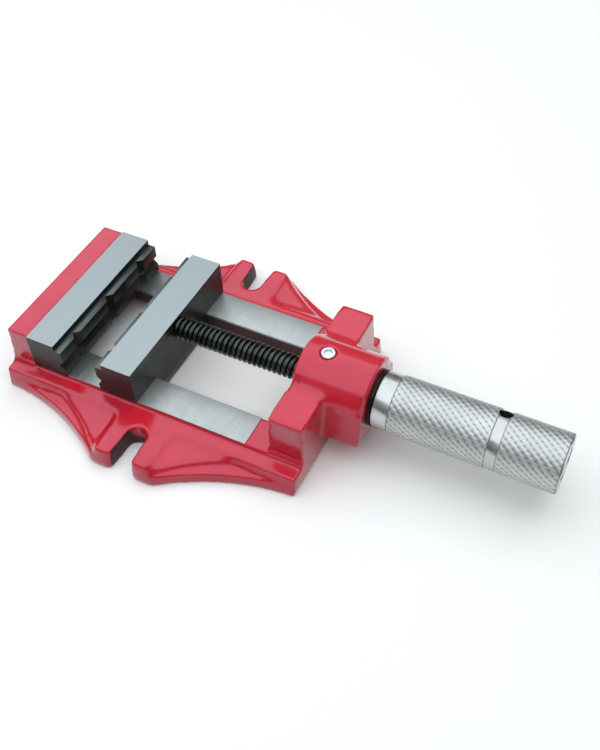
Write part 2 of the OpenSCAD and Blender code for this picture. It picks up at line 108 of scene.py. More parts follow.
class NodeSheet:
    """A short way to add and link shader nodes in one tree."""

    def __init__(self, tree: bpy.types.NodeTree) -> None:
        """Keeps the material's, world's or group's node tree."""
        self.tree = tree

    def add(self, kind: str, **settings: Any) -> bpy.types.Node:
        """Adds one node.

        Args:
            kind: the node's type name.
            settings: attributes to set on it.

        Returns:
            The new node.
        """
        node = self.tree.nodes.new(kind)
        for key, value in settings.items():
            setattr(node, key, value)
        return node

    def link(self, out: Socket, into: Socket) -> None:
        """Links an output to an input."""
        self.tree.links.new(out, into)

    def feed(self, into: Socket, value: Any) -> None:
        """Sets an input to a number or a colour, or links an output to it.

        Args:
            into: the input.
            value: a number, a colour or an output.
        """
        if isinstance(value, tuple):
            into.default_value = (*value, 1.0)
        elif isinstance(value, (int, float)):
            into.default_value = value
        else:
            self.link(value, into)

    def math(self, operation: str, a: Any, b: Any = 0.0) -> Socket:
        """Adds a Math node.

        Args:
            operation: the node's operation.
            a: the first input, an output or a number.
            b: the second input.

        Returns:
            The node's output.
        """
        node = self.add("ShaderNodeMath", operation=operation)
        self.feed(node.inputs[0], a)
        self.feed(node.inputs[1], b)
        return node.outputs[0]

    def off(self, value: Socket, level: float) -> Socket:
        """Gives how far a value lies from a level."""
        return self.math("ABSOLUTE", self.math("SUBTRACT", value, level))

    def span(self, value: Socket, low: float, high: float, to_low: float = 0.0, to_high: float = 1.0) -> Socket:
        """Maps a value from one span to another, smoothly and clamped.

        Args:
            value: the output to map.
            low: the value that gives to_low.
            high: the value that gives to_high.
            to_low: the result at low.
            to_high: the result at high.

        Returns:
            The mapped value.
        """
        node = self.add("ShaderNodeMapRange", interpolation_type="SMOOTHSTEP")
        self.link(value, node.inputs["Value"])
        for key, number in (("From Min", low), ("From Max", high), ("To Min", to_low), ("To Max", to_high)):
            node.inputs[key].default_value = number
        return node.outputs["Result"]

    def mix(self, factor: Socket, a: Any, b: Any) -> Socket:
        """Mixes two colours.

        Args:
            factor: the share of b.
            a: a colour or a colour output.
            b: a colour or a colour output.

        Returns:
            The mixed colour.
        """
        node = self.add("ShaderNodeMix", data_type="RGBA")
        self.link(factor, node.inputs[0])
        self.feed(node.inputs[6], a)
        self.feed(node.inputs[7], b)
        return node.outputs[2]

    def split(self, place: Socket) -> bpy.types.NodeOutputs:
        """Splits a place into X, Y and Z."""
        node = self.add("ShaderNodeSeparateXYZ")
        self.link(place, node.inputs["Vector"])
        return node.outputs

    def stretch(self, place: Socket, scale: Triple, shift: Triple = (0.0, 0.0, 0.0)) -> Socket:
        """Scales a place along X, Y and Z, and then shifts it.

        Args:
            place: the coordinates.
            scale: the scale along each axis.
            shift: the shift along each axis.

        Returns:
            The new coordinates.
        """
        node = self.add("ShaderNodeMapping")
        node.inputs["Location"].default_value = shift
        node.inputs["Scale"].default_value = scale
        self.link(place, node.inputs["Vector"])
        return node.outputs["Vector"]

    def noise(self, place: Socket, scale: Any, detail: float) -> Socket:
        """Adds a Noise texture.

        Args:
            place: the coordinates.
            scale: its scale, an output or a number.
            detail: its detail.

        Returns:
            Its value.
        """
        node = self.add("ShaderNodeTexNoise")
        self.link(place, node.inputs["Vector"])
        self.feed(node.inputs["Scale"], scale)
        node.inputs["Detail"].default_value = detail
        return node.outputs["Fac"]

    def effect(self, tree: bpy.types.NodeTree, place: Socket, scale: float) -> Socket:
        """Places a shared effect.

        Args:
            tree: the effect's group.
            place: the coordinates that it reads.
            scale: its scale.

        Returns:
            Its value.
        """
        node = self.add("ShaderNodeGroup", node_tree=tree)
        node.inputs["Scale"].default_value = scale
        self.link(place, node.inputs["Place"])
        return node.outputs[0]

    def bump(self, shader: bpy.types.Node, height: Socket, strength: float, depth: float) -> None:
        """Feeds a height to a shader's normal.

        Args:
            shader: the shader.
            height: the height, from 0 to 1.
            strength: the bump's strength.
            depth: the bump's depth in metres.
        """
        node = self.add("ShaderNodeBump")
        node.inputs["Strength"].default_value = strength
        node.inputs["Distance"].default_value = depth
        self.link(height, node.inputs["Height"])
        self.link(node.outputs["Normal"], shader.inputs["Normal"])


class Effects:
    """Shared surface effects, each a node group that is built once."""

    _made: dict[str, bpy.types.NodeTree] = {}

    @classmethod
    def mottle(cls) -> bpy.types.NodeTree:
        """Gives cloudy variation of a surface, as a value from 0 to 1."""
        return cls._two_noises("cloudy_mottle", "Mask", 5.3, 4.0, (0.65, 0.35), (0.36, 0.64))

    @classmethod
    def marks(cls) -> bpy.types.NodeTree:
        """Gives one fine and one coarse set of machining marks, as a value from 0 to 1."""
        return cls._two_noises("machining_marks", "Height", 0.27, 3.0, (0.6, 0.4), (0.3, 0.7))

    @classmethod
    def _two_noises(cls, name: str, output: str, ratio: float, detail: float, shares: Pair,
                    ends: Pair) -> bpy.types.NodeTree:
        """Makes a group on first use: two sizes of noise, added and stretched.

        Args:
            name: the group's name.
            output: the name of its output.
            ratio: the second noise's scale, in scales of the first.
            detail: the detail of both.
            shares: the share of each in the sum.
            ends: the sums that give 0 and 1.

        Returns:
            The group's tree.
        """
        if name not in cls._made:
            tree = bpy.data.node_groups.new(name, "ShaderNodeTree")
            tree.interface.new_socket("Place", in_out="INPUT", socket_type="NodeSocketVector")
            tree.interface.new_socket("Scale", in_out="INPUT", socket_type="NodeSocketFloat")
            tree.interface.new_socket(output, in_out="OUTPUT", socket_type="NodeSocketFloat")
            sheet = NodeSheet(tree)
            start = sheet.add("NodeGroupInput").outputs
            parts = []
            for times, share in zip((1.0, ratio), shares):
                noise = sheet.noise(start["Place"], sheet.math("MULTIPLY", start["Scale"], times), detail)
                parts.append(sheet.math("MULTIPLY", noise, share))
            both = sheet.math("ADD", *parts)
            sheet.link(sheet.span(both, *ends), sheet.add("NodeGroupOutput").inputs[output])
            cls._made[name] = tree
        return cls._made[name]


def start_material(name: str) -> tuple[bpy.types.Material, NodeSheet, bpy.types.Node, Socket]:
    """Starts a material with a Principled shader and object coordinates.

    Args:
        name: the material's name.

    Returns:
        The material, its nodes, the shader and the coordinates.
    """
    mat = bpy.data.materials.new(name)
    mat.use_nodes = True
    sheet = NodeSheet(mat.node_tree)
    place = sheet.add("ShaderNodeTexCoord").outputs["Object"]
    return mat, sheet, mat.node_tree.nodes["Principled BSDF"], place


# Finishes


@dataclass(frozen=True)
class Enamel:
    """Glossy red enamel over a sand casting, thin and dulled inside the bed's opening and the clamp slots, where its
    colour is darkened as painted shade.

    The skin has slow waves, orange peel, a slightly uneven colour and a few small dents, each ringed with painted
    shade.

    Attributes:
        name: the material's name.
        colour: the paint's colour.
        shade: the colour where the coat lies thicker.
        thin: the dark colour inside the bed and the slots, painted shade on the thin, dulled coat there.
        dent_shade: the colour of the painted shade round the small dents.
        roughness: the paint's least and greatest roughness under its gloss.
        dulled: what the thin, dulled coat adds to the roughness.
        dull_gloss: the gloss that is left on the thin, dulled coat.
        specular: the specular level under the gloss.
        tint: that specular's tint.
        gloss: the gloss coat's roughness.
        gloss_ior: the gloss coat's index of refraction.
        cloud: the scale of the uneven colour.
        waves: the scale and detail of the slow waves.
        peel: the scale and detail of the orange peel.
        peel_share: the peel's height, in heights of the waves.
        bump: the strength and depth of both.
        inside: the opening's half width, middle, half length and height.
        slot: a slot's round end as its distance from the middle, place along the bed, radius and height.
        fade: the width over which the thin, dulled coat and its painted shade end, sideways and upwards.
        flaws: the places of the small dents whose shade is painted as rings.
        ring: the radius of the rings of painted shade, and how far off it they are full and gone.
    """

    name: str = "red_enamel_on_casting"
    colour: Colour = (0.64, 0.010, 0.028)
    shade: Colour = (0.58, 0.008, 0.022)
    thin: Colour = (0.085, 0.030, 0.024)
    dent_shade: Colour = (0.22, 0.010, 0.018)
    roughness: Pair = (0.17, 0.29)
    dulled: float = 0.35
    dull_gloss: float = 0.1
    specular: float = 0.4
    tint: Colour = (0.35, 0.55, 1.0)
    gloss: float = 0.13
    gloss_ior: float = 1.43
    cloud: float = 32.0
    waves: Pair = (75.0, 2.0)
    peel: Pair = (780.0, 1.0)
    peel_share: float = 0.07
    bump: Pair = (0.12, 0.9 * MM)
    inside: tuple[float, float, float, float] = (29.1 * MM, 61.4 * MM, 72.3 * MM, 15.7 * MM)
    slot: tuple[float, float, float, float] = (69.7 * MM, 62.65 * MM, 7.0 * MM, 12.8 * MM)
    fade: Pair = (0.4 * MM, 0.6 * MM)
    flaws: tuple[Triple, ...] = ((-18.8 * MM, -15.5 * MM, 45.4 * MM), (-3.2 * MM, -27.5 * MM, 54.7 * MM))
    ring: Triple = (0.8 * MM, 0.15 * MM, 0.55 * MM)

    def material(self) -> bpy.types.Material:
        """Builds the paint.

        Returns:
            The material.
        """
        mat, sheet, shader, place = start_material(self.name)
        cloud = sheet.effect(Effects.mottle(), place, self.cloud)
        # Painted shade: inside the bed's opening and the clamp slots the colour goes dark, standing in for the shade
        # there; the same mask dulls and roughens the coat.
        shade_and_dull = sheet.math("MAXIMUM", self._inside(sheet, place), self._in_slots(sheet, place))
        # Painted shade: a dark ring round each small dent stands in for the dent's shade.
        paint = sheet.mix(self._dent_shade_rings(sheet, place), sheet.mix(cloud, self.colour, self.shade), self.dent_shade)
        sheet.link(sheet.mix(shade_and_dull, paint, self.thin), shader.inputs["Base Color"])
        rough = sheet.span(cloud, 0.0, 1.0, *self.roughness)
        rough = sheet.math("ADD", rough, sheet.math("MULTIPLY", shade_and_dull, self.dulled))
        sheet.link(rough, shader.inputs["Roughness"])
        sheet.link(sheet.span(shade_and_dull, 0.0, 1.0, 1.0, self.dull_gloss), shader.inputs["Coat Weight"])
        sheet.feed(shader.inputs["Specular IOR Level"], self.specular)
        sheet.feed(shader.inputs["Specular Tint"], self.tint)
        sheet.feed(shader.inputs["Coat Roughness"], self.gloss)
        sheet.feed(shader.inputs["Coat IOR"], self.gloss_ior)
        peel = sheet.math("MULTIPLY", sheet.noise(place, *self.peel), self.peel_share)
        sheet.bump(shader, sheet.math("ADD", sheet.noise(place, *self.waves), peel), *self.bump)
        return mat

    def _inside(self, sheet: NodeSheet, place: Socket) -> Socket:
        """Marks the inner sides of the bed's opening, where shade is painted in and the coat is dulled.

        Args:
            sheet: the material's nodes.
            place: the object coordinates.

        Returns:
            One inside the opening and nought elsewhere.
        """
        half, middle, reach, top = self.inside
        aside, up = self.fade
        axes = sheet.split(place)
        across = sheet.span(sheet.off(axes["X"], 0.0), half, half + aside, 1.0, 0.0)
        along = sheet.span(sheet.off(axes["Y"], middle), reach, reach + aside, 1.0, 0.0)
        below = sheet.span(axes["Z"], top - up, top, 1.0, 0.0)
        return sheet.math("MULTIPLY", sheet.math("MULTIPLY", across, along), below)

    def _in_slots(self, sheet: NodeSheet, place: Socket) -> Socket:
        """Marks the walls of both clamp slots, where shade is painted in and the coat is dulled.

        Args:
            sheet: the material's nodes.
            place: the object coordinates.

        Returns:
            One on the walls and nought elsewhere.
        """
        out, middle, radius, top = self.slot
        aside, up = self.fade
        axes = sheet.split(place)
        inward = sheet.math("MAXIMUM", sheet.math("SUBTRACT", out, sheet.off(axes["X"], 0.0)))
        along = sheet.math("SUBTRACT", axes["Y"], middle)
        squares = [sheet.math("MULTIPLY", side, side) for side in (inward, along)]
        away = sheet.math("SQRT", sheet.math("ADD", *squares))
        near = sheet.span(away, radius - aside / 2, radius + aside / 2, 1.0, 0.0)
        return sheet.math("MULTIPLY", near, sheet.span(axes["Z"], top - up, top, 1.0, 0.0))

    def _dent_shade_rings(self, sheet: NodeSheet, place: Socket) -> Socket:
        """Marks a ring of painted shade round each small dent.

        Args:
            sheet: the material's nodes.
            place: the object coordinates.

        Returns:
            One on the rings and nought elsewhere.
        """
        radius, full, gone = self.ring
        total: Any = 0.0
        for spot in self.flaws:
            away = sheet.add("ShaderNodeVectorMath", operation="DISTANCE")
            sheet.link(place, away.inputs[0])
            away.inputs[1].default_value = spot
            mark = sheet.span(sheet.off(away.outputs["Value"], radius), full, gone, 1.0, 0.0)
            total = sheet.math("MAXIMUM", mark, total)
        return total


@dataclass(frozen=True)
class Metal:
    """Bare metal with machining marks and a faint stain.

    Attributes:
        name: the material's name.
        colour: the clean metal.
        stain: the colour of its stained patches.
        roughness: the mean roughness.
        lay: the way that the marks run.
        marks: the strength of the marks.
        scale: the marks' scale.
        stain_scale: the stain's scale.
        depth: the marks' depth.
        swing: how much the marks change the roughness.
    """

    name: str
    colour: Colour
    stain: Colour
    roughness: float = 0.3
    lay: Lay = Lay.NONE
    marks: float = 0.25
    scale: float = 1500.0
    stain_scale: float = 60.0
    depth: float = 0.06 * MM
    swing: float = 0.12

    def material(self) -> bpy.types.Material:
        """Builds the metal.

        Returns:
            The material.
        """
        mat, sheet, shader, place = start_material(self.name)
        shader.inputs["Metallic"].default_value = 1.0
        marks = sheet.effect(Effects.marks(), sheet.stretch(place, self.lay.value), self.scale)
        sheet.link(self._colour(sheet, place), shader.inputs["Base Color"])
        rough = sheet.math("ADD", sheet.math("MULTIPLY", marks, self.swing), self.roughness - self.swing / 2)
        sheet.link(rough, shader.inputs["Roughness"])
        sheet.bump(shader, marks, self.marks, self.depth)
        return mat

    def _colour(self, sheet: NodeSheet, place: Socket) -> Socket:
        """Mixes the metal with its stain.

        Args:
            sheet: the material's nodes.
            place: the object coordinates.

        Returns:
            The colour.
        """
        return sheet.mix(sheet.effect(Effects.mottle(), place, self.stain_scale), self.colour, self.stain)


@dataclass(frozen=True)
class Knurled(Metal):
    """Bare metal on the ridges of a knurl, with a darker colour painted into its grooves as shade.

    Attributes:
        low: the radius up to which the painted shade in the grooves is full.
        high: the radius past which the metal keeps its own colour.
        groove_shade: the colour of the painted shade in the grooves.
    """

    low: float = 16.48 * MM
    high: float = 16.66 * MM
    groove_shade: Colour = (0.26, 0.27, 0.25)

    def _colour(self, sheet: NodeSheet, place: Socket) -> Socket:
        """Darkens the metal in the grooves as painted shade, by the distance from the handle's axis.

        Args:
            sheet: the material's nodes.
            place: the object coordinates.

        Returns:
            The colour.
        """
        radius = sheet.add("ShaderNodeVectorMath", operation="LENGTH")
        sheet.link(sheet.stretch(place, (1.0, 0.0, 1.0), (0.0, 0.0, -AXIS)), radius.inputs[0])
        # Painted shade: below the ridges the metal is darkened to the dark groove colour, standing in for the shade in
        # the grooves.
        rubbed = sheet.span(radius.outputs["Value"], self.low, self.high)
        return sheet.mix(rubbed, self.groove_shade, super()._colour(sheet, place))


@dataclass(frozen=True)
class GroundTop:
    """Blackened steel whose top has been ground bare, with small chips of bright metal at the ground edge.

    Attributes:
        name: the material's name.
        black: the black oxide.
        thin: the oxide where it has rubbed thin.
        steel: the ground metal.
        rubbed: the clamping ledge, which is rubbed half bare.
        specular: the oxide's specular level.
        oxide: the oxide's least and greatest roughness.
        satin: the ground metal's roughness.
        swing: how much the marks change the roughness.
        top: the height of the ground face.
        chip: how far the chips reach down from the ground face, and the height of its sharp edge.
        ledge: the height of the clamping ledge.
        worn: how far off the ledge's height the rubbing is full and gone.
        cloud: the scale of the oxide's patches.
        chips: the scale of the chips.
        marks: the scale of the grinding marks.
        bump: the strength and depth of the grinding marks.
    """

    name: str
    black: Colour = (0.011, 0.011, 0.009)
    thin: Colour = (0.022, 0.021, 0.018)
    steel: Colour = (0.385, 0.435, 0.455)
    rubbed: Colour = (0.11, 0.13, 0.125)
    specular: float = 0.36
    oxide: Pair = (0.28, 0.4)
    satin: float = 0.44
    swing: float = 0.06
    top: float = 39.3 * MM
    chip: Pair = (0.22 * MM, 0.08 * MM)
    ledge: float = 35.5 * MM
    worn: Pair = (0.05 * MM, 0.2 * MM)
    cloud: float = 45.0
    chips: float = 260.0
    marks: float = 1300.0
    bump: Pair = (0.2, 0.05 * MM)

    def material(self) -> bpy.types.Material:
        """Builds the two-part finish, split by height.

        Returns:
            The material.
        """
        mat, sheet, shader, place = start_material(self.name)
        height = sheet.split(place)["Z"]
        cloud = sheet.effect(Effects.mottle(), place, self.cloud)
        chips = sheet.effect(Effects.mottle(), place, self.chips)
        marks = sheet.effect(Effects.marks(), sheet.stretch(place, Lay.ACROSS.value), self.marks)
        reach, edge = self.chip
        chipped = sheet.math("ADD", height, sheet.math("MULTIPLY", chips, reach))
        bare = sheet.span(chipped, self.top - reach, self.top - edge)
        worn = sheet.span(sheet.off(height, self.ledge), *self.worn, 1.0, 0.0)
        dark = sheet.mix(worn, sheet.mix(cloud, self.black, self.thin), self.rubbed)
        sheet.link(sheet.mix(bare, dark, self.steel), shader.inputs["Base Color"])
        sheet.link(sheet.math("MAXIMUM", bare, worn), shader.inputs["Metallic"])
        sheet.feed(shader.inputs["Specular IOR Level"], self.specular)
        oxide = sheet.span(cloud, 0.0, 1.0, *self.oxide)
        to_satin = sheet.math("MULTIPLY", bare, sheet.math("SUBTRACT", self.satin, oxide))
        rough = sheet.math("ADD", sheet.math("ADD", oxide, to_satin), sheet.math("MULTIPLY", marks, self.swing))
        sheet.link(rough, shader.inputs["Roughness"])
        sheet.bump(shader, marks, *self.bump)
        return mat


@dataclass(frozen=True)
class Finishes:
    """Every material of the vise, built once."""

    enamel: bpy.types.Material
    ground: bpy.types.Material
    jaw: bpy.types.Material
    thread: bpy.types.Material
    knurl: bpy.types.Material
    turned: bpy.types.Material
    zinc: bpy.types.Material
    dark: bpy.types.Material
    black: bpy.types.Material
    bronze: bpy.types.Material

    @classmethod
    def build(cls) -> Finishes:
        """Builds the whole set.

        Returns:
            The finishes.
        """
        kinds: dict[str, Any] = {
            "enamel": Enamel(),
            "ground": Metal("ground_rail_steel", (0.445, 0.47, 0.465), (0.40, 0.42, 0.415), 0.48, Lay.ACROSS,
                            0.25, 1300.0),
            "jaw": GroundTop("black_jaw_steel"),
            "thread": Metal("oiled_thread_steel", (0.075, 0.09, 0.088), (0.035, 0.038, 0.033), 0.34, Lay.TURNED,
                            0.3, 1800.0),
            "knurl": Knurled("knurled_steel", (0.58, 0.605, 0.61), (0.51, 0.525, 0.52), 0.46, Lay.NONE,
                             0.2, 1500.0, 45.0),
            "turned": Metal("turned_bright_steel", (0.54, 0.56, 0.565), (0.47, 0.48, 0.47), 0.24, Lay.TURNED,
                            0.35, 2200.0),
            "zinc": Metal("zinc_screw", (0.72, 0.75, 0.78), (0.58, 0.60, 0.63), 0.24, Lay.NONE,
                          0.15, 1600.0, 200.0),
            "dark": Metal("dark_oiled_steel", (0.10, 0.10, 0.10), (0.06, 0.058, 0.05), 0.36, Lay.ALONG,
                          0.25, 1300.0),
            # Painted shade: the thrust washer is black, and its near-black also stands in for the shadow gap between
            # the boss and the handle's collar.
            "black": Metal("black_ring_and_gap_shade", (0.022, 0.022, 0.022), (0.035, 0.034, 0.032), 0.42, Lay.TURNED,
                           0.2, 1800.0),
            "bronze": Metal("bearing_bronze", (0.55, 0.36, 0.15), (0.38, 0.24, 0.10), 0.3, Lay.TURNED,
                            0.3, 1800.0),
        }
        return cls(**{use: finish.material() for use, finish in kinds.items()})


# Mesh helpers


def copy_node(node: bpy.types.Object, flat: float = 0.4) -> bmesh.types.BMesh:
    """Copies a CAD node's mesh with its triangles joined into whole faces.

    Args:
        node: the CAD node's object.
        flat: the largest angle, in degrees, over which faces are joined.

    Returns:
        The new mesh.
    """
    bm = bmesh.new()
    bm.from_mesh(node.data)
    bmesh.ops.remove_doubles(bm, verts=bm.verts, dist=2 * MERGE)
    bmesh.ops.dissolve_limit(bm, angle_limit=math.radians(flat), verts=bm.verts, edges=bm.edges)
    return bm


def draw_chain(bm: bmesh.types.BMesh, places: Iterable[Triple]) -> list[Any]:
    """Draws points joined one to the next, to be spun.

    Args:
        bm: the mesh.
        places: the points.

    Returns:
        The new points and edges.
    """
    points = [bm.verts.new(place) for place in places]
    return points + [bm.edges.new(pair) for pair in zip(points, points[1:])]


def make_object(bm: bmesh.types.BMesh, name: str, mat: bpy.types.Material, sharp: float = 35.0) -> bpy.types.Object:
    """Turns a mesh into a smooth-shaded object at the origin.

    Args:
        bm: the mesh, which is freed.
        name: the object's name.
        mat: its material.
        sharp: the angle, in degrees, past which an edge stays sharp.

    Returns:
        The object.
    """
    mesh = bpy.data.meshes.new(name)
    bm.to_mesh(mesh)
    bm.free()
    mesh.materials.append(mat)
    mesh.shade_smooth()
    mesh.set_sharp_from_angle(angle=math.radians(sharp))
    obj = bpy.data.objects.new(name, mesh)
    bpy.context.scene.collection.objects.link(obj)
    return obj


def add_bevel(obj: bpy.types.Object, width: float, segments: int = 2, angle: float = 32.0) -> None:
    """Rounds an object's sharp edges with a modifier.

    Args:
        obj: the object.
        width: the bevel's width.
        segments: its steps.
        angle: the smallest edge angle, in degrees, that is rounded.
    """
    bevel = obj.modifiers.new("eased_edges", "BEVEL")
    bevel.width = width
    bevel.segments = segments
    bevel.limit_method = "ANGLE"
    bevel.angle_limit = math.radians(angle)
    bevel.miter_outer = "MITER_ARC"
    bevel.harden_normals = True


def settle(obj: bpy.types.Object, body: Body, slot: Slot, *nodes: str) -> None:
    """Says which body a piece rides on and the nodes that it stands for, and logs it.

    Args:
        obj: the piece.
        body: the body.
        slot: the record's slot; not used.
        nodes: the CAD nodes that it replaces.
    """
    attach(obj, body.value)
    if nodes:
        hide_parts(*nodes)
    stands_for = ", ".join(nodes) or "nothing"
    LOG.info("%s: %d faces, rides on %s, stands for %s", obj.name, len(obj.data.polygons), body.value, stands_for)


def bake_modifiers(obj: bpy.types.Object) -> None:
    """Applies an object's modifiers to its mesh."""
    graph = bpy.context.evaluated_depsgraph_get()
    mesh = bpy.data.meshes.new_from_object(obj.evaluated_get(graph), preserve_all_data_layers=True, depsgraph=graph)
    obj.modifiers.clear()
    old = obj.data
    obj.data = mesh
    bpy.data.meshes.remove(old)


# Sub-assemblies


@dataclass
class CastBed:
    """The red casting: a soft sand-cast skin with crisp ground rail faces let into it.

    Attributes:
        voxel: the size of the remeshed skin's cells.
        soften: how often the whole skin is smoothed.
        keep: the share of the skin's faces that is kept.
        wing_from: the half width past which the skin belongs to the wings.
        wing_passes: how often the wings are smoothed.
        draft: how far the wings' sides lean in at the height of the pads.
        draft_over: the width over which that lean sets in.
        pad_top: the pads' height.
        hollow: the height up to which the wings' sides count, the height past which their upper skin
            counts, and how far that lies from the sides.
        hollow_passes: how often the upper skin of the wings is smoothed.
        valley: the half width and height where the arch meets the block's steps, and how far round it is filled.
        valley_back: the rear end of the valleys.
        valley_passes: how often they are smoothed.
        corner: the half width, place along the bed and height past which the steps' corners are rounded.
        corner_passes: how often they are smoothed.
        lobe_from: the half width past which the lobes' corners are rounded.
        lobe_passes: how often they are smoothed.
        rail_in: the rails' inner half width.
        rail_out: the rails' outer half width.
        rail_top: the rails' height.
        rail_back: the rear end of the ground faces.
        rail_front: the front end of the ground faces.
        rail_ease: the width of the ground faces' eased edges.
        skin: the thickness of the ground faces above the pressed skin.
        sunk: their thickness below it.
        press: how far round the ground faces the skin is pressed down, and how far at their front end.
        pressed: the share of its height that the pressed skin keeps.
    """

    voxel: float = 0.85 * MM
    soften: int = 8
    keep: float = 0.62
    wing_from: float = 50.0 * MM
    wing_passes: int = 4
    draft: float = 2.0 * MM
    draft_over: float = 10.0 * MM
    pad_top: float = 13.0 * MM
    hollow: Triple = (6.0 * MM, 6.8 * MM, 2.2 * MM)
    hollow_passes: int = 14
    valley: Triple = (20.0 * MM, 43.4 * MM, 5.5 * MM)
    valley_back: float = -8.0 * MM
    valley_passes: int = 30
    corner: Triple = (41.0 * MM, -6.0 * MM, 34.0 * MM)
    corner_passes: int = 12
    lobe_from: float = 77.0 * MM
    lobe_passes: int = 24
    rail_in: float = 28.6 * MM
    rail_out: float = 48.8 * MM
    rail_top: float = 16.0 * MM
    rail_back: float = 126.5 * MM
    rail_front: float = 3.65 * MM
    rail_ease: float = 0.25 * MM
    skin: float = 0.9 * MM
    sunk: float = 0.6 * MM
    press: Pair = (0.5 * MM, 0.3 * MM)
    pressed: float = 0.1

    def build(self, nodes: Nodes, finishes: Finishes) -> None:
        """Builds the casting and its rail faces.

        Args:
            nodes: the CAD nodes.
            finishes: the materials.
        """
        obj = make_object(copy_node(nodes["base_casting"]), "cast_bed", finishes.enamel)
        self._remesh(obj)
        bm = bmesh.new()
        bm.from_mesh(obj.data)
        self._fettle(bm)
        self._press(bm)
        bm.to_mesh(obj.data)
        bm.free()
        obj.data.shade_smooth()
        settle(obj, Body.BASE, Slot.ENAMEL, "base_casting")
        self._rails(finishes.ground)

    def _remesh(self, obj: bpy.types.Object) -> None:
        """Gives the copied casting an even, softened skin.

        Args:
            obj: the casting.
        """
        remesh = obj.modifiers.new("sand_skin", "REMESH")
        remesh.mode = "VOXEL"
        remesh.voxel_size = self.voxel
        smooth = obj.modifiers.new("fettled", "SMOOTH")
        smooth.factor = 0.5
        smooth.iterations = self.soften
        thin = obj.modifiers.new("thinned", "DECIMATE")
        thin.ratio = self.keep
        bake_modifiers(obj)

    def _fettle(self, bm: bmesh.types.BMesh) -> None:
        """Rounds the skin further where the sand mould did, and leans the wings' sides.

        Args:
            bm: the casting.
        """
        wings = [vert for vert in bm.verts if abs(vert.co.x) > self.wing_from]
        rounds = ((wings, self.wing_passes), (self._hollows(wings), self.hollow_passes),
                  (self._valleys(bm), self.valley_passes), (self._corners(bm), self.corner_passes))
        for verts, passes in rounds:
            self._smooth(bm, verts, passes)
        lobes = [vert for vert in wings if abs(vert.co.x) > self.lobe_from]
        self._smooth(bm, lobes, self.lobe_passes, upright=False)
        for vert in wings:
            part = min((abs(vert.co.x) - self.wing_from) / self.draft_over, 1.0)
            lean = self.draft * part * part * (3.0 - 2.0 * part) * vert.co.z / self.pad_top
            vert.co.x -= math.copysign(lean, vert.co.x)

    @staticmethod
    def _smooth(bm: bmesh.types.BMesh, verts: Points, passes: int, upright: bool = True) -> None:
        """Smooths some points.

        Args:
            bm: the casting.
            verts: the points.
            passes: how often.
            upright: whether their heights change too.
        """
        for _ in range(passes):
            bmesh.ops.smooth_vert(bm, verts=verts, factor=0.5, use_axis_x=True, use_axis_y=True, use_axis_z=upright)

    def _hollows(self, wings: Points) -> Points:
        """Finds the upper skin of the wings, away from their outer sides, where the webs run into pads and shoulders.

        Args:
            wings: the wings' points.

        Returns:
            The points that are softened further.
        """
        sides_to, upper_from, inward = self.hollow
        sides = [vert.co for vert in wings if abs(vert.normal.z) < 0.5 and vert.co.z < sides_to]
        tree = KDTree(len(sides))
        for index, place in enumerate(sides):
            tree.insert((place.x, place.y, 0.0), index)
        tree.balance()
        return [vert for vert in wings if vert.co.z > upper_from
                and tree.find((vert.co.x, vert.co.y, 0.0))[2] > inward]

    def _valleys(self, bm: bmesh.types.BMesh) -> Points:
        """Finds the skin along the two valleys between the spindle's arch and the block's steps.

        Args:
            bm: the casting.

        Returns:
            The points that are filled to a broad fillet.
        """
        out, up, reach = self.valley
        return [vert for vert in bm.verts if vert.co.y < self.valley_back
                and math.hypot(abs(vert.co.x) - out, vert.co.z - up) < reach]

    def _corners(self, bm: bmesh.types.BMesh) -> Points:
        """Finds the skin round the upper outer corners of the block's steps.

        Args:
            bm: the casting.

        Returns:
            The points that are rounded.
        """
        out, along, up = self.corner
        return [vert for vert in bm.verts if vert.co.y < along and abs(vert.co.x) > out and vert.co.z > up]

    def _press(self, bm: bmesh.types.BMesh) -> None:
        """Keeps the skin inside the solid's box and presses it down under the ground faces.

        Args:
            bm: the casting.
        """
        low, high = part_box("base_casting")
        floor = self.rail_top - self.skin
        around, front = self.press
        for vert in bm.verts:
            for axis in range(3):
                vert.co[axis] = min(max(vert.co[axis], low[axis]), high[axis])
            x, y, z = vert.co
            across = self.rail_in - around < abs(x) < self.rail_out + around
            if across and self.rail_front - front < y < self.rail_back + around and z > floor:
                vert.co.z = floor + (z - floor) * self.pressed

    def _rails(self, mat: bpy.types.Material) -> None:
        """Builds the two ground faces as thin plates with eased edges.

        Args:
            mat: the ground steel.
        """
        bm = bmesh.new()
        size = Vector((self.rail_out - self.rail_in, self.rail_back - self.rail_front, self.skin + self.sunk))
        for side in (-1, 1):
            middle = Vector((side * (self.rail_in + self.rail_out) / 2, (self.rail_back + self.rail_front) / 2,
                             self.rail_top - size.z / 2))
            made = bmesh.ops.create_cube(bm, size=1.0)
            bmesh.ops.scale(bm, vec=size, verts=made["verts"])
            bmesh.ops.translate(bm, vec=middle, verts=made["verts"])
        bmesh.ops.bevel(bm, geom=bm.edges[:], offset=self.rail_ease, offset_type="OFFSET", affect="EDGES", segments=2,
                        profile=0.5, material=-1)
        settle(make_object(bm, "ground_rail_faces", mat), Body.BASE, Slot.BRIGHT_STEEL)


@dataclass
class Jaws:
    """The fixed plate and the sliding jaw, with eased edges and ground tops.

    Attributes:
        ease: the width of the eased edges.
    """

    ease: float = 0.4 * MM

    def build(self, nodes: Nodes, finishes: Finishes) -> None:
        """Builds both jaws.

        Args:
            nodes: the CAD nodes.
            finishes: the materials.
        """
        for node, name, body in (("fixed_jaw_plate", "fixed_jaw_steel", Body.BASE),
                                 ("movable_jaw", "movable_jaw_steel", Body.JAW)):
            obj = make_object(copy_node(nodes[node]), name, finishes.jaw)
            add_bevel(obj, self.ease)
            settle(obj, body, Slot.BLACK_STEEL, node)


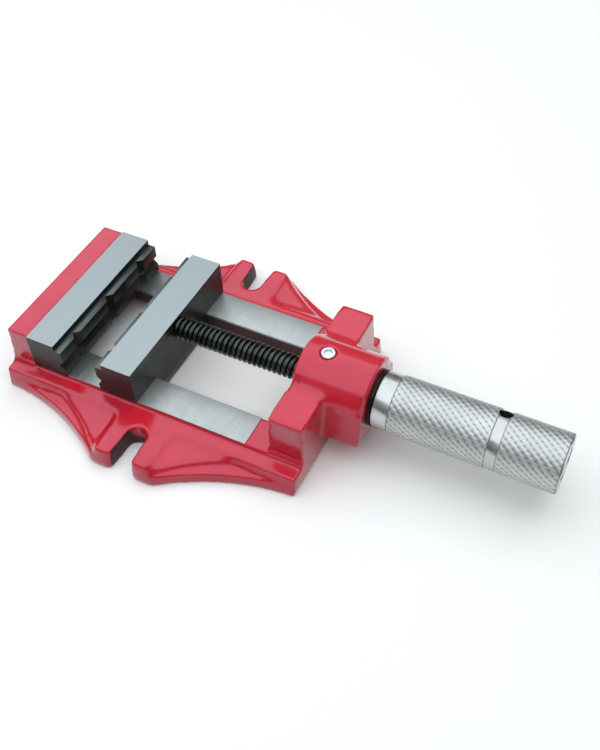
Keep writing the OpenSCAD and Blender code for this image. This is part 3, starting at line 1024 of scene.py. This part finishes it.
@dataclass
class Spindle:
    """The threaded spindle, cut as one left-hand helix.

    Attributes:
        crest: the thread's outer radius.
        root: the thread's inner radius.
        pitch: the thread's pitch.
        cut: the parts of a pitch at which the crest ends, the root starts and the root ends.
        steps: the steps in a turn.
        start: where the thread leaves the sliding jaw.
        end: the spindle's hidden end.
        plain: the length of the plain end in the jaw.
        plain_r: the plain end's radius.
        plain_in: how far the plain end reaches into the thread.
        plain_sides: the plain end's sides.
        sharp: the angle, in degrees, past which an edge of the thread stays sharp.
    """

    crest: float = 7.0 * MM
    root: float = 5.4 * MM
    pitch: float = 3.2 * MM
    cut: Triple = (0.34, 0.52, 0.82)
    steps: int = 40
    start: float = 73.35 * MM
    end: float = -80.15 * MM
    plain: float = 14.5 * MM
    plain_r: float = 4.98 * MM
    plain_in: float = 1.0 * MM
    plain_sides: int = 48
    sharp: float = 28.0

    def build(self, finishes: Finishes) -> None:
        """Builds the spindle.

        Args:
            finishes: the materials.
        """
        bm = bmesh.new()
        self._thread(bm)
        stub = bmesh.ops.create_cone(bm, cap_ends=True, segments=self.plain_sides, radius1=self.plain_r,
                                     radius2=self.plain_r, depth=self.plain + self.plain_in)["verts"]
        bmesh.ops.rotate(bm, cent=(0, 0, 0), matrix=Matrix.Rotation(math.pi / 2, 3, "X"), verts=stub)
        bmesh.ops.translate(bm, vec=(0, self.start + (self.plain - self.plain_in) / 2, 0), verts=stub)
        bmesh.ops.translate(bm, vec=(0, 0, AXIS), verts=bm.verts)
        obj = make_object(bm, "spindle_thread", finishes.thread, self.sharp)
        settle(obj, Body.JAW, Slot.DARK_STEEL, "spindle")

    def _thread(self, bm: bmesh.types.BMesh) -> None:
        """Spins one pitch of the thread along the axis, a little too long, and cuts both ends square.

        Args:
            bm: the mesh.
        """
        crest_end, root_start, root_end = self.cut
        shape = ((self.crest, 0.0), (self.crest, crest_end), (self.root, root_start), (self.root, root_end),
                 (self.crest, 1.0))
        top = self.start + 2 * self.pitch
        chain = draw_chain(bm, [(radius, top - part * self.pitch, 0.0) for radius, part in shape])
        turns = math.ceil((top - self.end) / self.pitch) + 1
        bmesh.ops.spin(bm, geom=chain, cent=(0, 0, 0), axis=(0, 1, 0), dvec=(0, -self.pitch / self.steps, 0),
                       angle=turns * 2 * math.pi, steps=turns * self.steps)
        bmesh.ops.remove_doubles(bm, verts=bm.verts, dist=MERGE)
        for place, normal in ((self.start, (0, 1, 0)), (self.end, (0, -1, 0))):
            cut = bmesh.ops.bisect_plane(bm, geom=bm.verts[:] + bm.edges[:] + bm.faces[:], dist=MERGE / 10,
                                         plane_co=(0, place, 0), plane_no=normal, clear_outer=True)
            rim = [edge for edge in cut["geom_cut"] if isinstance(edge, bmesh.types.BMEdge)]
            bmesh.ops.contextual_create(bm, geom=rim)
        bmesh.ops.recalc_face_normals(bm, faces=bm.faces)


@dataclass
class Handle:
    """The hollow handle: a turned core with two knurled bands.

    Attributes:
        near: the handle's end at the boss.
        length: its length.
        tip: the radius over the knurl.
        smooth: the radius of the collar and the ring.
        slack: how far past that radius the core still counts as smooth.
        under: how far the core is turned down under the bands.
        ease: the width of the core's eased edges.
        collar: the collar's length.
        ring_at: the ring's distance from the near end.
        ring_w: the ring's width.
        end_gap: how far the outer band ends before the handle.
        sleeve: how far the bands' inner side lies under the collar's radius.
        hole: the cross hole's radius.
        hole_sides: the cross hole's sides.
        tilt: the cross hole's tilt from upright, in degrees.
        deep: the depth of the knurl's main grooves.
        faint: the depth of the grooves that cross them.
        curve: how the grooves' sides bend.
        ridges: the knurl's ridges round the handle.
        pitch: the knurl's pitch along the handle.
        fine: the points in a pitch.
        sharp: the angle, in degrees, past which an edge of the knurl stays sharp.
    """

    near: float = -55.65 * MM
    length: float = 104.0 * MM
    tip: float = 16.8 * MM
    smooth: float = 16.3 * MM
    slack: float = 0.05 * MM
    under: float = 0.35 * MM
    ease: float = 0.3 * MM
    collar: float = 9.5 * MM
    ring_at: float = 67.5 * MM
    ring_w: float = 5.5 * MM
    end_gap: float = 0.4 * MM
    sleeve: float = 0.6 * MM
    hole: float = 4.0 * MM
    hole_sides: int = 64
    tilt: float = 24.0
    deep: float = 0.24 * MM
    faint: float = 0.10 * MM
    curve: float = 1.2
    ridges: int = 28
    pitch: float = 5.0 * MM
    fine: int = 8
    sharp: float = 40.0

    def build(self, nodes: Nodes, finishes: Finishes) -> None:
        """Builds the core and both bands.

        Args:
            nodes: the CAD nodes.
            finishes: the materials.
        """
        self._core(nodes["handle_grip"], finishes.turned)
        ring_from, ring_to = self.ring_at - self.ring_w / 2, self.ring_at + self.ring_w / 2
        for name, start, stop in (("knurl_near", self.collar, ring_from),
                                  ("knurl_far", ring_to, self.length - self.end_gap)):
            self._band(name, self.near - start, self.near - stop, finishes.knurl)

    def _core(self, node: bpy.types.Object, mat: bpy.types.Material) -> None:
        """Turns a copy of the grip down under the bands.

        Args:
            node: the CAD node.
            mat: the bright steel.
        """
        bm = copy_node(node)
        for vert in bm.verts:
            if math.hypot(vert.co.x, vert.co.z - AXIS) > self.smooth + self.slack:
                self._set_radius(vert, self.smooth - self.under)
        obj = make_object(bm, "handle_core", mat)
        add_bevel(obj, self.ease)
        settle(obj, Body.HANDLE, Slot.BRIGHT_STEEL, "handle_grip")

    @staticmethod
    def _set_radius(vert: bmesh.types.BMVert, radius: float) -> None:
        """Moves a point straight in or out to a distance from the axis.

        Args:
            vert: the point.
            radius: the distance.
        """
        out = Vector((vert.co.x, 0.0, vert.co.z - AXIS))
        out *= radius / out.length
        vert.co.x, vert.co.z = out.x, out.z + AXIS

    def _band(self, name: str, start: float, stop: float, mat: bpy.types.Material) -> None:
        """Builds one band of knurl as a closed sleeve: a grid rolled round the axis, with two sets of crossing grooves.

        Args:
            name: the piece's name.
            start: the band's end nearer the boss.
            stop: its other end.
            mat: the knurled steel.
        """
        rows = round((start - stop) / self.pitch * self.fine)
        columns = self.ridges * self.fine
        bm = bmesh.new()
        bmesh.ops.create_grid(bm, x_segments=columns, y_segments=rows, size=0.5)
        for vert in bm.verts:
            column = round((vert.co.x + 0.5) * columns)
            row = round((vert.co.y + 0.5) * rows)
            along = start + (stop - start) * row / rows
            radius = self.smooth if row in (0, rows) else self._knurl(column / self.fine, along)
            turn = 2 * math.pi * column / columns
            vert.co = (radius * math.cos(turn), along, AXIS + radius * math.sin(turn))
        bmesh.ops.remove_doubles(bm, verts=bm.verts, dist=MERGE)
        for place in (start, stop):
            rim = [edge for edge in bm.edges if edge.is_boundary and abs(edge.verts[0].co.y - place) < MERGE]
            made = bmesh.ops.extrude_edge_only(bm, edges=rim)["geom"]
            for vert in (item for item in made if isinstance(item, bmesh.types.BMVert)):
                self._set_radius(vert, self.smooth - self.sleeve)
        bmesh.ops.bridge_loops(bm, edges=[edge for edge in bm.edges if edge.is_boundary])
        bmesh.ops.recalc_face_normals(bm, faces=bm.faces)
        obj = make_object(bm, name, mat, self.sharp)
        self._drill(obj, mat)
        settle(obj, Body.HANDLE, Slot.BRIGHT_STEEL)

    def _knurl(self, around: float, along: float) -> float:
        """Gives the knurl's radius at a place.

        Args:
            around: the place round the handle, counted in ridges.
            along: the place along the handle.

        Returns:
            The radius.
        """
        down = (self.near - along) / self.pitch
        return self.tip - self.deep * self._groove(around - down) - self.faint * self._groove(around + down)

    def _groove(self, phase: float) -> float:
        """Gives a groove's depth, from nought on the ridge to one at the bottom, for a place counted in ridges."""
        return abs(2.0 * (phase % 1.0) - 1.0) ** self.curve

    def _drill(self, obj: bpy.types.Object, mat: bpy.types.Material) -> None:
        """Cuts the cross hole through a band.

        Args:
            obj: the band.
            mat: its material.
        """
        bm = bmesh.new()
        bmesh.ops.create_cone(bm, cap_ends=True, segments=self.hole_sides, radius1=self.hole, radius2=self.hole,
                              depth=3.0 * self.tip)
        bmesh.ops.rotate(bm, cent=(0, 0, 0), matrix=Matrix.Rotation(math.radians(self.tilt), 3, "Y"), verts=bm.verts)
        bmesh.ops.translate(bm, vec=(0, self.near - self.ring_at, AXIS), verts=bm.verts)
        drill = make_object(bm, "drill", mat)
        cut = obj.modifiers.new("cross_hole", "BOOLEAN")
        cut.operation = "DIFFERENCE"
        cut.solver = "EXACT"
        cut.object = drill
        bake_modifiers(obj)
        bm = bmesh.new()
        bm.from_mesh(obj.data)
        bmesh.ops.dissolve_degenerate(bm, edges=bm.edges, dist=5 * MERGE)
        bm.to_mesh(obj.data)
        bm.free()
        obj.data.set_sharp_from_angle(angle=math.radians(self.sharp))
        mesh = drill.data
        bpy.data.objects.remove(drill)
        bpy.data.meshes.remove(mesh)


@dataclass
class Hardware:
    """The small parts: the retaining screw, a few with eased edges, and those that keep their CAD shape.

    Attributes:
        tip_r: the radius of the retaining screw's tip.
        tip_len: the tip's length.
        shank_r: the shank's radius.
        head_r: the head's radius.
        head_h: the head's height.
        chamfer: the chamfer round the head.
        socket_r: the socket's radius over its corners.
        socket_deep: the socket's depth.
        sides: the screw's sides.
    """

    tip_r: float = 2.0 * MM
    tip_len: float = 3.0 * MM
    shank_r: float = 2.5 * MM
    head_r: float = 4.2 * MM
    head_h: float = 2.6 * MM
    chamfer: float = 0.5 * MM
    socket_r: float = 2.52 * MM
    socket_deep: float = 1.1 * MM
    sides: int = 48

    def build(self, nodes: Nodes, finishes: Finishes) -> None:
        """Dresses every remaining node.

        Args:
            nodes: the CAD nodes.
            finishes: the materials.
        """
        eased = (("retaining_screw", finishes.zinc, Slot.BRIGHT_STEEL, Body.BASE, 0.2 * MM),
                 # Painted shade: the washer's black also stands in for the shadow gap at the collar.
                 ("thrust_washer", finishes.black, Slot.BLACK_RING, Body.BASE, 0.3 * MM),
                 ("handle_end_plug", finishes.turned, Slot.BRIGHT_STEEL, Body.HANDLE, 0.3 * MM),
                 ("keeper_plate", finishes.dark, Slot.DARK_STEEL, Body.JAW, 0.4 * MM))
        for node, mat, slot, body, ease in eased:
            bm = self._screw() if node == "retaining_screw" else copy_node(nodes[node])
            obj = make_object(bm, node + "_eased", mat)
            add_bevel(obj, ease)
            settle(obj, body, slot, node)
        plain = ((finishes.dark, ("fixed_jaw_screws", "fixed_jaw_washers", "spindle_stop_ring", "keeper_screws",
                                  "handle_set_screw")),
                 (finishes.turned, ("fixed_jaw_dowels", "spindle_pin")),
                 (finishes.bronze, ("boss_bush_rear", "boss_bush_front", "drive_nut")))
        for mat, names in plain:
            for node in names:
                nodes[node].material_slots[0].material = mat
                LOG.info("%s: its own solid, %s", node, mat.name)

    def _screw(self) -> bmesh.types.BMesh:
        """Turns the retaining screw, with a shallow six-sided socket whose floor is seen.

        Returns:
            The screw.
        """
        low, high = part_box("retaining_screw")
        tip, top = low[2], high[2]
        shoulder, seat, floor = tip + self.tip_len, top - self.head_h, top - self.socket_deep
        shape = ((0.0, tip), (self.tip_r, tip), (self.tip_r, shoulder), (self.shank_r, shoulder), (self.shank_r, seat),
                 (self.head_r, seat), (self.head_r, top - self.chamfer), (self.head_r - self.chamfer, top),
                 (self.socket_r, top), (self.socket_r, floor), (0.0, floor))
        bm = bmesh.new()
        chain = draw_chain(bm, [(radius, 0.0, height) for radius, height in shape])
        bmesh.ops.spin(bm, geom=chain, cent=(0, 0, 0), axis=(0, 0, 1), angle=2 * math.pi, steps=self.sides,
                       use_merge=True)
        bmesh.ops.remove_doubles(bm, verts=bm.verts, dist=MERGE)
        for vert in bm.verts:
            on_socket = abs(math.hypot(vert.co.x, vert.co.y) - self.socket_r) < 10 * MERGE
            if on_socket and vert.co.z > seat:
                turn = math.atan2(vert.co.y, vert.co.x) % (math.pi / 3)
                flat = math.cos(math.pi / 6) / math.cos(turn - math.pi / 6)
                vert.co.x, vert.co.y = vert.co.x * flat, vert.co.y * flat
        bmesh.ops.recalc_face_normals(bm, faces=bm.faces)
        bmesh.ops.translate(bm, vec=(0.0, (low[1] + high[1]) / 2.0, 0.0), verts=bm.verts)
        return bm


@dataclass
class Studio:
    """The pale floor, the room, the soft box and the camera.

    Attributes:
        floor_size: half the floor's width.
        floor_drop: how far the floor lies under the vise.
        floor_lit: the floor's colour where it lights the vise.
        floor_seen: its colour in the picture and in reflections.
        floor_rough: its roughness.
        room: the room's colour.
        room_rise: the slopes of view between which the room brightens.
        room_light: its strength at the horizon and overhead.
        box_size: the soft box's width.
        box_at: its place.
        box_colour: its colour.
        box_power: its power in watts.
        eye: the camera's place.
        yaw: the view's turn from +X towards +Y, in degrees.
        dip: how far the view looks down, in degrees.
        roll: how far the camera leans, in degrees.
        focal: the focal length in picture widths.
        film: the width of the camera's film, in millimetres.
        shift: the lens shift that frames the vise as in the photograph, in picture widths.
    """

    floor_size: float = 12.0
    floor_drop: float = 0.2 * MM
    floor_lit: Colour = (0.42, 0.41, 0.39)
    floor_seen: Colour = (0.96, 0.955, 0.94)
    floor_rough: float = 0.9
    room: Colour = (1.0, 0.985, 0.96)
    room_rise: Pair = (0.12, 0.66)
    room_light: Pair = (0.16, 0.44)
    box_size: float = 2.2
    box_at: Triple = (0.02, 0.28, 1.0)
    box_colour: Colour = (0.92, 1.0, 1.06)
    box_power: float = 18.5
    eye: Triple = (-0.3200, -0.1829, 0.4484)
    yaw: float = 26.94
    dip: float = 48.93
    roll: float = -1.4
    focal: float = 988.5 / 600.0
    film: float = 36.0
    shift: Pair = (-0.0375, -0.0047)

    def build(self) -> None:
        """Sets up the whole stage."""
        self._floor()
        self._room()
        self._soft_box()
        self._camera()
        bpy.context.scene.view_settings.view_transform = "Standard"

    def _floor(self) -> None:
        """Lays a wide floor that is white in the picture and in reflections."""
        bm = bmesh.new()
        bmesh.ops.create_grid(bm, x_segments=1, y_segments=1, size=self.floor_size)
        bmesh.ops.translate(bm, vec=(0, 0, -self.floor_drop), verts=bm.verts)
        mat, sheet, shader, _ = start_material("pale_floor")
        rays = sheet.add("ShaderNodeLightPath").outputs
        seen = sheet.math("MAXIMUM", rays["Is Camera Ray"], rays["Is Glossy Ray"])
        seen = sheet.math("MAXIMUM", seen, rays["Is Transmission Ray"])
        sheet.link(sheet.mix(seen, self.floor_lit, self.floor_seen), shader.inputs["Base Color"])
        sheet.feed(shader.inputs["Roughness"], self.floor_rough)
        sheet.feed(shader.inputs["Specular IOR Level"], 0.0)
        make_object(bm, "floor", mat)

    def _room(self) -> None:
        """Gives a room that is dim at the horizon and brighter overhead."""
        world = bpy.data.worlds.new("soft_room")
        bpy.context.scene.world = world
        world.use_nodes = True
        sheet = NodeSheet(world.node_tree)
        back = world.node_tree.nodes["Background"]
        rise = sheet.split(sheet.add("ShaderNodeTexCoord").outputs["Generated"])["Z"]
        sheet.link(sheet.span(rise, *self.room_rise, *self.room_light), back.inputs["Strength"])
        sheet.feed(back.inputs["Color"], self.room)

    def _soft_box(self) -> None:
        """Hangs one broad soft box over the vise."""
        lamp = bpy.data.lights.new("soft_box", "AREA")
        lamp.shape = "RECTANGLE"
        lamp.size = lamp.size_y = self.box_size
        lamp.energy = self.box_power
        lamp.color = self.box_colour
        obj = bpy.data.objects.new("soft_box", lamp)
        obj.location = self.box_at
        bpy.context.scene.collection.objects.link(obj)

    def _camera(self) -> None:
        """Stands the camera at the photograph's viewing angle."""
        data = bpy.data.cameras.new("camera")
        data.sensor_fit = "HORIZONTAL"
        data.sensor_width = self.film
        data.lens = self.film * self.focal
        data.clip_start = 10.0 * MM
        data.shift_x, data.shift_y = self.shift
        camera = bpy.data.objects.new("camera", data)
        camera.location = self.eye
        yaw, dip = math.radians(self.yaw), math.radians(self.dip)
        look = Vector((math.cos(dip) * math.cos(yaw), math.cos(dip) * math.sin(yaw), -math.sin(dip)))
        lean = Quaternion((0, 0, 1), math.radians(self.roll))
        camera.rotation_euler = (look.to_track_quat("-Z", "Y") @ lean).to_euler()
        bpy.context.scene.collection.objects.link(camera)
        bpy.context.scene.camera = camera


def main() -> None:
    """Builds the vise's stage and its pieces in order."""
    logging.basicConfig(level=logging.INFO, format="%(name)s %(message)s")
    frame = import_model()
    nodes: Nodes = frame["nodes"]
    Studio().build()
    finishes = Finishes.build()
    CastBed().build(nodes, finishes)
    Jaws().build(nodes, finishes)
    Spindle().build(finishes)
    Handle().build(nodes, finishes)
    Hardware().build(nodes, finishes)


if __name__ == "__main__":
    main()
